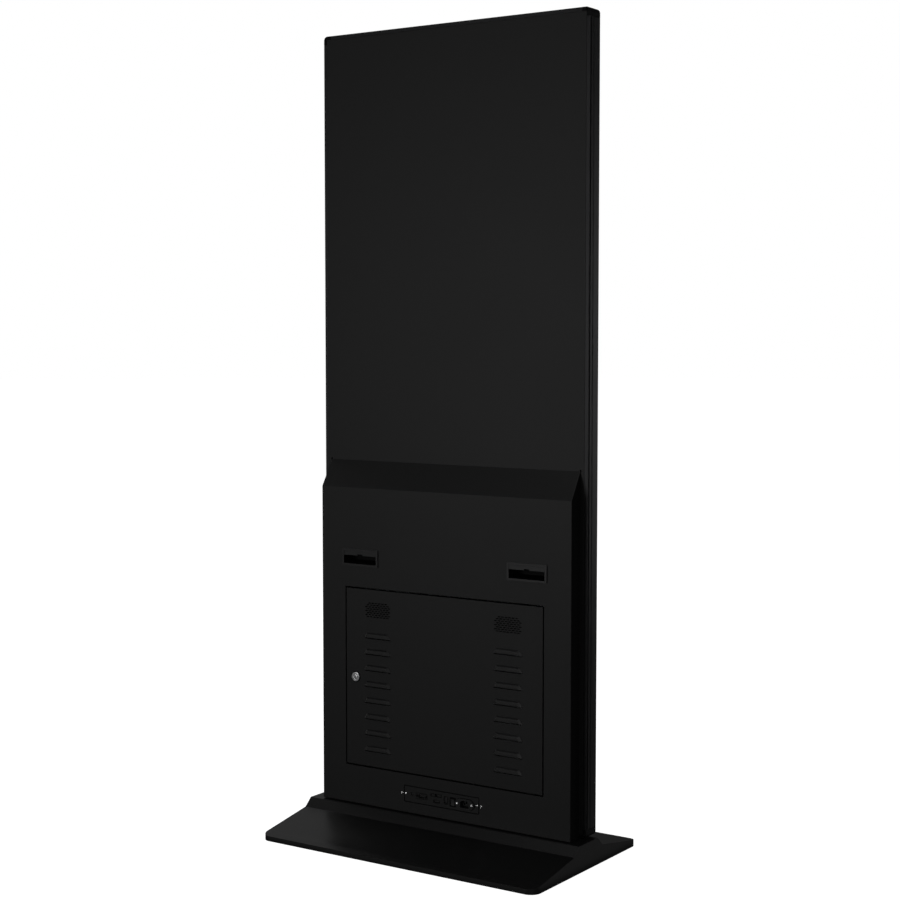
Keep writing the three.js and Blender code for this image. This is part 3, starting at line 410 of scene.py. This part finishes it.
def rounded_loop(x, z, half_x, half_z, radius, steps=5):
    """Corner points of a rounded rectangle round (x, z), anticlockwise, in millimetres."""
    points = []
    for quarter, (sx, sz) in enumerate([(1, 1), (-1, 1), (-1, -1), (1, -1)]):
        cx, cz = x + sx * (half_x - radius), z + sz * (half_z - radius)
        for i in range(steps + 1):
            a = math.pi / 2 * (quarter + i / steps)
            points.append((cx + radius * math.cos(a), cz + radius * math.sin(a)))
    return points


def plate(name, outline, holes, y_back, y_front, bevel=0.3):
    """A flat plate across Y from y_back to y_front, with holes, and its edges rounded."""
    curve = bpy.data.curves.new(name, "CURVE")
    curve.dimensions = "2D"
    curve.fill_mode = "BOTH"
    for loop in [outline, *holes]:
        spline = curve.splines.new("POLY")
        spline.points.add(len(loop) - 1)
        for point, (u, v) in zip(spline.points, loop):
            point.co = (u * MM, v * MM, 0, 1)
        spline.use_cyclic_u = True
    curve.extrude = abs(y_front - y_back) / 2 * MM - bevel * MM
    curve.bevel_depth = bevel * MM
    curve.bevel_resolution = 1
    curve.offset = -bevel * MM
    temp = loose(name, curve)
    bpy.context.view_layer.update()
    mesh = bpy.data.meshes.new_from_object(temp.evaluated_get(bpy.context.evaluated_depsgraph_get()))
    bpy.data.objects.remove(temp)
    mesh.transform(Matrix.Translation((0, (y_front + y_back) / 2 * MM, 0))
                   @ Matrix.Rotation(math.radians(90), 4, "X"))
    bm = bmesh.new()
    bm.from_mesh(mesh)
    bmesh.ops.remove_doubles(bm, verts=bm.verts, dist=MERGE / 2)
    bmesh.ops.recalc_face_normals(bm, faces=bm.faces)
    return bm


def facing_box(node):
    """A CAD node's middle and half sizes across X and Z, in millimetres."""
    low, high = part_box(node)
    return ((low.x + high.x) / 2 / MM, (low.z + high.z) / 2 / MM,
            (high.x - low.x) / 2 / MM, (high.z - low.z) / 2 / MM)


# ---------------------------------------------------------------- screws

def screw_mesh(radius, height):
    """A pan-head screw with a cross recess, its head standing on z = 0."""
    profile = [(0, 0), (radius, 0), (radius, height * 0.35), (radius * 0.93, height * 0.65),
               (radius * 0.72, height * 0.9), (radius * 0.4, height), (0, height)]
    head = loose("screw_head", lathe("screw_head", profile, "z", (0, 0, 0), 24))
    arm, half = radius * 0.55, radius * 0.13
    for low, high in [((-arm, -half), (arm, half)), ((-half, -arm), (half, arm))]:
        bm = bmesh.new()
        box_mesh(bm, (*low, height * 0.35), (*high, height * 1.5))
        cut(head, loose("arm", mesh_from(bm, "arm")))
    mesh = head.data
    bpy.data.objects.remove(head)
    return mesh


def place_screws(base_name, mesh, places, direction, material, body):
    """Copies a screw to places, in millimetres, facing along direction, each turned at random."""
    facing = AXES["z"].rotation_difference(Vector(direction)).to_matrix().to_4x4()
    for index, place in enumerate(places):
        copy = mesh.copy()
        turn = Matrix.Rotation(random.uniform(0, math.pi / 2), 4, "Z")
        copy.transform(Matrix.Translation(Vector(place) * MM) @ facing @ turn)
        add_piece(f"{base_name}_{index + 1}", copy, material, body)


# ---------------------------------------------------------------- the kiosk

def make_slab(m):
    """The four frame rails with their corner caps, the rear panel and the lower front panel."""
    for place in ("left", "right", "top", "bottom"):
        refine(f"frame_rail_{place}", m, radius=0.35)
    for place in ("top_left", "top_right", "bottom_left", "bottom_right"):
        refine(f"corner_cap_{place}", m, radius=0.5)
    refine("rear_panel", m, radius=0.3)
    refine("lower_front_panel", m, radius=0.6)


def make_screen(m):
    """The touch glass, the black border printed on its inner face, and the panel behind."""
    refine("touch_glass", m, radius=0.7)
    margin, outer_corner = 1, 2
    window_half_x, window_half_z, window_corner = 342, 606.5, 1.5
    x, z, half_x, half_z = facing_box("touch_glass")
    outline = rounded_loop(x, z, half_x - margin, half_z - margin, outer_corner)
    x, z, _, _ = facing_box("lcd_panel")
    window = rounded_loop(x, z, window_half_x, window_half_z, window_corner)
    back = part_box("touch_glass")[1].y / MM
    bm = plate("border_print", outline, [window], back + 0.06, back + 0.2, 0.02)
    add_piece("glass_border_print", mesh_from(bm, "border_print"), m["border_print"], "stand")
    refine("lcd_panel", m, radius=0.3)


def second_material(obj, material, chosen):
    """Gives the faces for which chosen(face) is true a second material."""
    obj.data.materials.append(material)
    for face in obj.data.polygons:
        if chosen(face):
            face.material_index = 1


def make_housing(m):
    """The housing, its two side walls in a darker copy of its black paint as painted shade, and the
    handle cups with their pockets in painted shade.
    """
    housing = refine("lower_housing", m, radius=0.35, bends=1.6)
    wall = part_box("lower_housing")[1].x - MM
    # the side walls take the darker copy of the paint, painted shade for the black they fall into beside
    # the frame
    second_material(housing, m["side_wall_shade_black"],
                    lambda face: abs(face.normal.x) > 0.99 and abs(face.center.x) > wall)
    pocket_shade_depth = 0.3
    for side in ("left", "right"):
        cup = refine(f"handle_cup_{side}", m, radius=0.3)
        # faces deeper than the rim take the near-black material: painted shade inside the pocket
        second_material(cup, m["near_black_and_shade"], lambda face: face.center.y < (BACK - pocket_shade_depth) * MM)


def louvre(bm, x, z):
    """One pressed louvre: a flat-faced hood with slanted ends, 5 mm proud and open along its bottom."""
    metal, top_half, bottom_half, facet = 1.0, 31.5, 38.9, 7.4
    tall, proud, least_rise = 12.0, 4.95, 0.3
    profile = [(tall, 0.0), (11.7, 0.35), (9.3, 3.95), (8.9, 4.35), (8.3, 4.5), (4.0, 4.75),
               (0.6, proud), (0.15, 4.8), (0.0, 4.5)]
    shells = []
    for inward in (0.0, metal):
        shell = []
        for height, rise in profile:
            half = bottom_half + (top_half - bottom_half) * height / tall
            run = facet * max(rise, least_rise) / proud
            row = []
            steps = [(-half, 0.0), (-half + run * 0.1, 0.26), (-half + run * 0.92, 0.96),
                     (-half + run, 1.0), (-half * 0.4, 1.0), (half * 0.4, 1.0),
                     (half - run, 1.0), (half - run * 0.92, 0.96), (half - run * 0.1, 0.26),
                     (half, 0.0)]
            for u, lift in steps:
                row.append(bm.verts.new(((x + u) * MM, (BACK + rise * lift - inward) * MM,
                                         (z - tall / 2 + height) * MM)))
            shell.append(row)
        shells.append(shell)
    outer, inner = shells
    rows, columns = len(profile) - 1, len(outer[0]) - 1
    for i in range(rows):
        for j in range(columns):
            bm.faces.new((outer[i][j], outer[i + 1][j], outer[i + 1][j + 1], outer[i][j + 1]))
            bm.faces.new((inner[i][j], inner[i][j + 1], inner[i + 1][j + 1], inner[i + 1][j]))
    for i, flip in ((0, True), (rows, False)):
        for j in range(columns):
            quad = (outer[i][j], inner[i][j], inner[i][j + 1], outer[i][j + 1])
            bm.faces.new(quad[::-1] if flip else quad)
    for j in (0, columns):
        for i in range(rows):
            quad = (outer[i][j], outer[i + 1][j], inner[i + 1][j], inner[i][j])
            bm.faces.new(quad if j else quad[::-1])


def door_layout():
    """Louvre centres and grille centres in millimetres, from the door's CAD box."""
    louvre_x, top_louvre, row_pitch, louvre_rows = 182.5, 104.0, 38.9, 8
    grille_x, grille_rise = 182.0, 164.5
    centre_z = facing_box("service_door")[1]
    louvres = [(side * louvre_x, centre_z + top_louvre - row * row_pitch)
               for row in range(louvre_rows) for side in (-1, 1)]
    grilles = [(side * grille_x, centre_z + grille_rise) for side in (-1, 1)]
    return louvres, grilles


def grille_holes(x, z):
    """Staggered rows of short slots inside a stadium outline."""
    holes = []
    pitch_x, pitch_z, half_x, half_z = 9.4, 4.7, 3.6, 1.25
    straight, end_radius = 21.5, 19.5
    for row in range(8):
        dz = (row - 3.5) * pitch_z
        reach = straight + math.sqrt(max(end_radius ** 2 - dz ** 2, 0))
        shift = 0.5 if row % 2 else 0.0
        for column in range(-5, 6):
            dx = (column + shift) * pitch_x
            if abs(dx) + half_x <= reach:
                holes.append(rounded_loop(x + dx, z + dz, half_x, half_z, 1.1, 2))
    return holes


def make_door(m):
    """The door's skin with its louvres, grilles, lock hole and return flanges."""
    sheet, hole_radius = 1.5, 9.3
    slot_low, slot_high, slot_low_half, slot_high_half = -8.9, 4.4, 37.6, 31
    louvres, grilles = door_layout()
    _, centre_z, half_x, half_z = facing_box("service_door")
    holes = [[(x - slot_low_half, z + slot_low), (x + slot_low_half, z + slot_low),
              (x + slot_high_half, z + slot_high), (x - slot_high_half, z + slot_high)]
             for x, z in louvres]
    for grille in grilles:
        holes += grille_holes(*grille)
    lock_x = facing_box("lock_barrel")[0]
    holes.append(rounded_loop(lock_x, centre_z, hole_radius, hole_radius, hole_radius - 0.1, 8))
    outline = rounded_loop(0, centre_z, half_x, half_z, 1.2, 3)
    bm = plate("door_skin", outline, holes, BACK - sheet, BACK, 0.28)
    for x, z in louvres:
        louvre(bm, x, z)
    # return flanges, each just inside the skin's edge, with a gap for the pivots
    flange_end, flange_top = BACK - 14, BACK - sheet + 0.1
    inset, gap_start, gap_end = sheet + 0.1, 2.4, 9
    for side in (-1, 1):
        x = sorted((side * half_x, side * (half_x - sheet)))
        box_mesh(bm, (x[0], flange_end, centre_z - half_z), (x[1], flange_top, centre_z + half_z), 0.3)
        z = sorted((centre_z + side * half_z, centre_z + side * (half_z - sheet)))
        box_mesh(bm, (-half_x + gap_end, flange_end, z[0]), (half_x - inset, flange_top, z[1]), 0.3)
        box_mesh(bm, (-half_x + inset, flange_end, z[0]), (-half_x + gap_start, flange_top, z[1]), 0.2)
    door = add_piece("service_door_finish", mesh_from(bm, "door"), m["black_powder_coat"], "door")
    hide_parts("service_door")
    for index, (x, z) in enumerate(grilles):
        loop = rounded_loop(x, z, 43, 20.5, 10)
        cloth = plate("cloth", loop, [], BACK - sheet - 0.25, BACK - sheet - 0.05, 0.05)
        add_piece(f"grille_cloth_{index + 1}", mesh_from(cloth, "cloth"), m["grille_cloth"], "door")


def make_lock(m):
    """The barrel with its black washer, whose dark ring is partly painted shadow round the lock, the plug
    with a key slot, and the cam with its screw and nut.
    """
    x, z, _, _ = facing_box("lock_barrel")
    centre = Vector((x * MM, BACK * MM, z * MM))
    slot_half_x, slot_half_z, stem_half = 0.75, 3.6, 3.5
    slot_floor, stem_end, stem_start = BACK - 3, BACK - 24, BACK - 20
    barrel = lathe("barrel", [(5.8, -20), (9, -20), (9, 0.5), (11, 0.5), (11, 2.1), (10.7, 2.6),
                              (10.2, 2.8), (6.6, 2.8), (6.1, 2.5), (5.8, 2.2), (5.8, -20)],
                   "y", centre, 64)
    # a black washer under the rim; its dark ring also stands for the shadow line round the lock, partly
    # painted shadow
    washer = lathe("washer", [(9.4, 0.05), (13.2, 0.05), (13.2, 0.35), (12.9, 0.5), (9.4, 0.5),
                              (9.4, 0.05)], "y", centre, 64)
    add_piece("lock_washer", washer, m["near_black_and_shade"], "door")
    obj = add_piece("lock_barrel_finish", barrel, m["lock_chrome"], "door")
    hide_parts("lock_barrel")

    plug = loose("plug", lathe("plug", [(0, -20.4), (5.5, -20.4), (5.5, 2.2), (5.2, 2.6), (4.7, 2.75),
                                        (0, 2.75)], "y", centre, 48))
    bm = bmesh.new()
    box_mesh(bm, (x - slot_half_x, slot_floor, z - slot_half_z),
             (x + slot_half_x, BACK + 4, z + slot_half_z), 0.2)
    cut(plug, loose("slot", mesh_from(bm, "slot")))
    bm = bmesh.new()
    bm.from_mesh(plug.data)
    bpy.data.objects.remove(plug)
    box_mesh(bm, (x - stem_half, stem_end, z - stem_half),
             (x + stem_half, stem_start, z + stem_half), 0.3)
    obj = add_piece("lock_plug_finish", mesh_from(bm, "plug"), m["lock_chrome"], "lock")
    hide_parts("lock_plug")
    screw = screw_mesh(4.6, 2.0)
    place_screws("cam_screw", screw, [(x, stem_end + 0.5, z)], (0, -1, 0), m["screw_steel"], "lock")
    refine("lock_cam", m, radius=0.3)
    refine("lock_nut", m, radius=0.4)


def make_connectors(m):
    """The connector plate and everything on it."""
    refine("connector_plate", m, radius=0.2)
    refine("connector_bracket", m, radius=0.3, material=m["near_black_and_shade"])
    refine("switch_body", m, radius=0.18, segments=2, material=m["near_black_and_shade"])
    refine("power_rocker", m, radius=0.18, segments=2, material=m["rocker_plastic"])
    for node in ("audio_jack", "vga_port", "usb_ports", "hdmi_port", "lan_port", "mains_inlet"):
        refine(node, m, radius=0.18, segments=2)
    z = facing_box("connector_plate")[1]
    places = [(x, BACK + 0.05, z) for x in (111.6, 100.3, -100.3, -111.6)]
    place_screws("plate_screw", screw_mesh(3.1, 1.7), places, (0, 1, 0), m["screw_steel"], "stand")
    make_inlet_details(m)
    make_vga_details(m)
    make_socket_inserts(m)
    make_outline_shades(m)


def make_inlet_details(m):
    """The mains inlet's two screws, three pins on their carrier, and a thin black ring round its flange,
    a painted shadow outline.
    """
    x, z, _, _ = facing_box("mains_inlet")
    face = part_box("mains_inlet")[1].y / MM
    places = [(x + dx, face, z) for dx in (-20, 20)]
    place_screws("inlet_screw", screw_mesh(3.3, 1.8), places, (0, 1, 0), m["screw_steel"], "stand")
    pin_half_x, pin_half_z = 1.15, 2.15
    bm = bmesh.new()
    for dx, dz in ((-7, -1.5), (0, 2.5), (7, -1.5)):
        box_mesh(bm, (x + dx - pin_half_x, BACK - 13, z + dz - pin_half_z),
                 (x + dx + pin_half_x, BACK - 3.3, z + dz + pin_half_z), 0.6)
    add_piece("mains_pins", mesh_from(bm, "pins"), m["nickel"], "stand")
    carrier_half_x, carrier_half_z = 11, 7.2
    bm = bmesh.new()
    box_mesh(bm, (x - carrier_half_x, BACK - 13.8, z - carrier_half_z),
             (x + carrier_half_x, BACK - 8, z + carrier_half_z), 0.8)
    add_piece("pin_carrier", mesh_from(bm, "carrier"), m["black_plastic"], "stand")
    # the black ring of painted shadow stays level with the flange's pointed ends, clear of the switch
    # beside it
    corners = [(25.5, 5), (15, 12.5), (-15, 12.5), (-25.5, 5),
               (-25.5, -5), (-15, -12.5), (15, -12.5), (25.5, -5)]
    pointed_end, overhang, end_overhang, rise, tuck = 20, 0.9, 0.05, 1.0, 0.985
    outer = []
    for u, v in corners:
        grow = overhang if abs(u) < pointed_end else end_overhang
        outer.append((x + u + math.copysign(grow, u), z + v + math.copysign(rise, v)))
    inner = [(x + u * tuck, z + v * tuck) for u, v in corners]
    add_outline_shade("mains_inlet", outer, inner, m)


def make_vga_details(m):
    """The insert in the VGA socket with black squares painted on its face as the shade of its contact
    holes, and the two hexagonal jack nuts.
    """
    x, z, _, _ = facing_box("vga_port")
    insert_half_x, insert_half_z = 6.9, 2.7
    bm = bmesh.new()
    box_mesh(bm, (x - insert_half_x, BACK - 8.6, z - insert_half_z),
             (x + insert_half_x, BACK - 1.4, z + insert_half_z), 0.4)
    add_piece("vga_insert", mesh_from(bm, "insert"), m["black_plastic"], "stand")
    column_pitch, row_pitch, stagger, hole_half = 2.3, 1.7, 0.6, 0.45
    # black squares standing just proud of the insert's face: painted shade where the contact holes are
    bm = bmesh.new()
    for row in range(3):
        for column in range(5):
            px = x + (column - 2) * column_pitch + (stagger if row == 1 else 0)
            pz = z + (row - 1) * row_pitch
            box_mesh(bm, (px - hole_half, BACK - 1.7, pz - hole_half),
                     (px + hole_half, BACK - 1.32, pz + hole_half), 0.15)
    add_piece("vga_painted_hole_shade", mesh_from(bm, "contact_hole_shade"), m["near_black_and_shade"], "stand")
    nut_offset = 12.5
    profile = [(1.3, BACK + 1), (2.4, BACK + 1), (2.4, BACK + 3), (1.3, BACK + 3), (1.3, BACK + 1)]
    for index, side in enumerate((-1, 1)):
        nut = lathe("jack", profile, "y", ((x + side * nut_offset) * MM, 0, z * MM), 6)
        add_piece(f"vga_jackscrew_{index + 1}", nut, m["dark_screw"], "stand", angle=20)


def make_socket_inserts(m):
    """Moulded inserts that stand in the mouths of the data sockets."""
    for node, inserts in (("lan_port", [(0, 1.2, 4.0, 5.8)]), ("hdmi_port", [(0, 0.2, 6.0, 1.7)]),
                          ("usb_ports", [(-8, -0.6, 5.3, 1.6), (8, -0.6, 5.3, 1.6)])):
        x, z, _, _ = facing_box(node)
        bm = bmesh.new()
        for dx, dz, half_x, half_z in inserts:
            box_mesh(bm, (x + dx - half_x, BACK - 8.6, z + dz - half_z),
                     (x + dx + half_x, BACK - 0.6, z + dz + half_z), 0.4)
        add_piece(node + "_insert", mesh_from(bm, "insert"), m["black_plastic"], "stand")


def add_outline_shade(node, outer, inner, m):
    """A flat black ring between two outlines, lying on the connector plate: a painted shadow outline."""
    bm = plate("outline_shade", outer, [inner], BACK + 0.02, BACK + 0.35, 0.05)
    add_piece(node + "_gasket", mesh_from(bm, "outline_shade"), m["near_black_and_shade"], "stand")


def make_outline_shades(m):
    """Thin black rings round the sockets, painted shadow outlines, each with its overhang and corner
    radius.
    """
    clearance, least_corner = 0.05, 0.3
    for node, grow, corner in (("usb_ports", 0.9, 1.0), ("hdmi_port", 1.1, 1.6), ("lan_port", 1.3, 1.4),
                               ("audio_jack", 1.0, 5.0), ("vga_port", 0.9, 2.4),
                               ("switch_body", 0.45, 2.2)):
        x, z, half_x, half_z = facing_box(node)
        add_outline_shade(node, rounded_loop(x, z, half_x + grow, half_z + grow, corner),
                   rounded_loop(x, z, half_x + clearance, half_z + clearance,
                                max(corner - grow, least_corner)), m)


def make_base(m):
    """The base shell, its ballast and its four pads."""
    refine("base_shell", m, radius=1.2, bends=2.6)
    refine("ballast_plate", m, radius=0.6)
    for place in ("front_left", "front_right", "rear_left", "rear_right"):
        refine(f"foot_pad_{place}", m, radius=0.3)


def make_inside(m):
    """The steelwork, the electronics and the two leads."""
    # the hinge pins take the dark screw finish, not their zinc steel: painted shade, as they sit in the
    # shade of the door gap
    for node in ("hinge_pin_lower", "hinge_pin_upper"):
        refine(node, m, radius=0.3, segments=2, material=m["dark_screw"])
    for node in ("mast_left", "mast_right", "mast_foot_left", "mast_foot_right", "middle_crossbar",
                 "screen_crossbar_1", "screen_crossbar_2", "backlight_tray", "equipment_plate",
                 "media_player", "power_supply", "hinge_bracket_lower", "hinge_bracket_upper",
                 "speaker_left", "speaker_right", "driver_board", "touch_controller"):
        refine(node, m, radius=0.3, segments=2)
    for node in ("mains_lead", "video_lead"):
        bm = bmesh.new()
        bm.from_mesh(frame["nodes"][node].data)
        bmesh.ops.remove_doubles(bm, verts=bm.verts, dist=MERGE)
        obj = add_piece(node + "_finish", mesh_from(bm, node), m["lead_jacket"], BODY_OF[node], angle=60)
        smooth = obj.modifiers.new("round", "SUBSURF")
        smooth.levels = smooth.render_levels = 1
        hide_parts(node)


def make_cap_screws(m):
    """One dark screw in the rear recess of each corner cap."""
    low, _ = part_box("corner_cap_bottom_left")
    _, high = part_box("corner_cap_top_right")
    inset_x, inset_z, recess_floor = 5.3, 6.6, -11.4
    places = []
    for x in (low.x / MM + inset_x, high.x / MM - inset_x):
        for z in (low.z / MM + inset_z, high.z / MM - inset_z):
            places.append((x, recess_floor, z))
    place_screws("cap_screw", screw_mesh(2.7, 1.4), places, (0, 1, 0), m["dark_screw"], "stand")


def build():
    """Sets the stage, then makes the kiosk from the base up."""
    bpy.context.scene.view_settings.view_transform = "Standard"
    m = make_materials()
    make_camera()
    make_lights()
    make_world()
    make_floor(m["floor"])
    make_base(m)
    make_slab(m)
    make_cap_screws(m)
    make_screen(m)
    make_housing(m)
    make_door(m)
    make_lock(m)
    make_connectors(m)
    make_inside(m)


build()
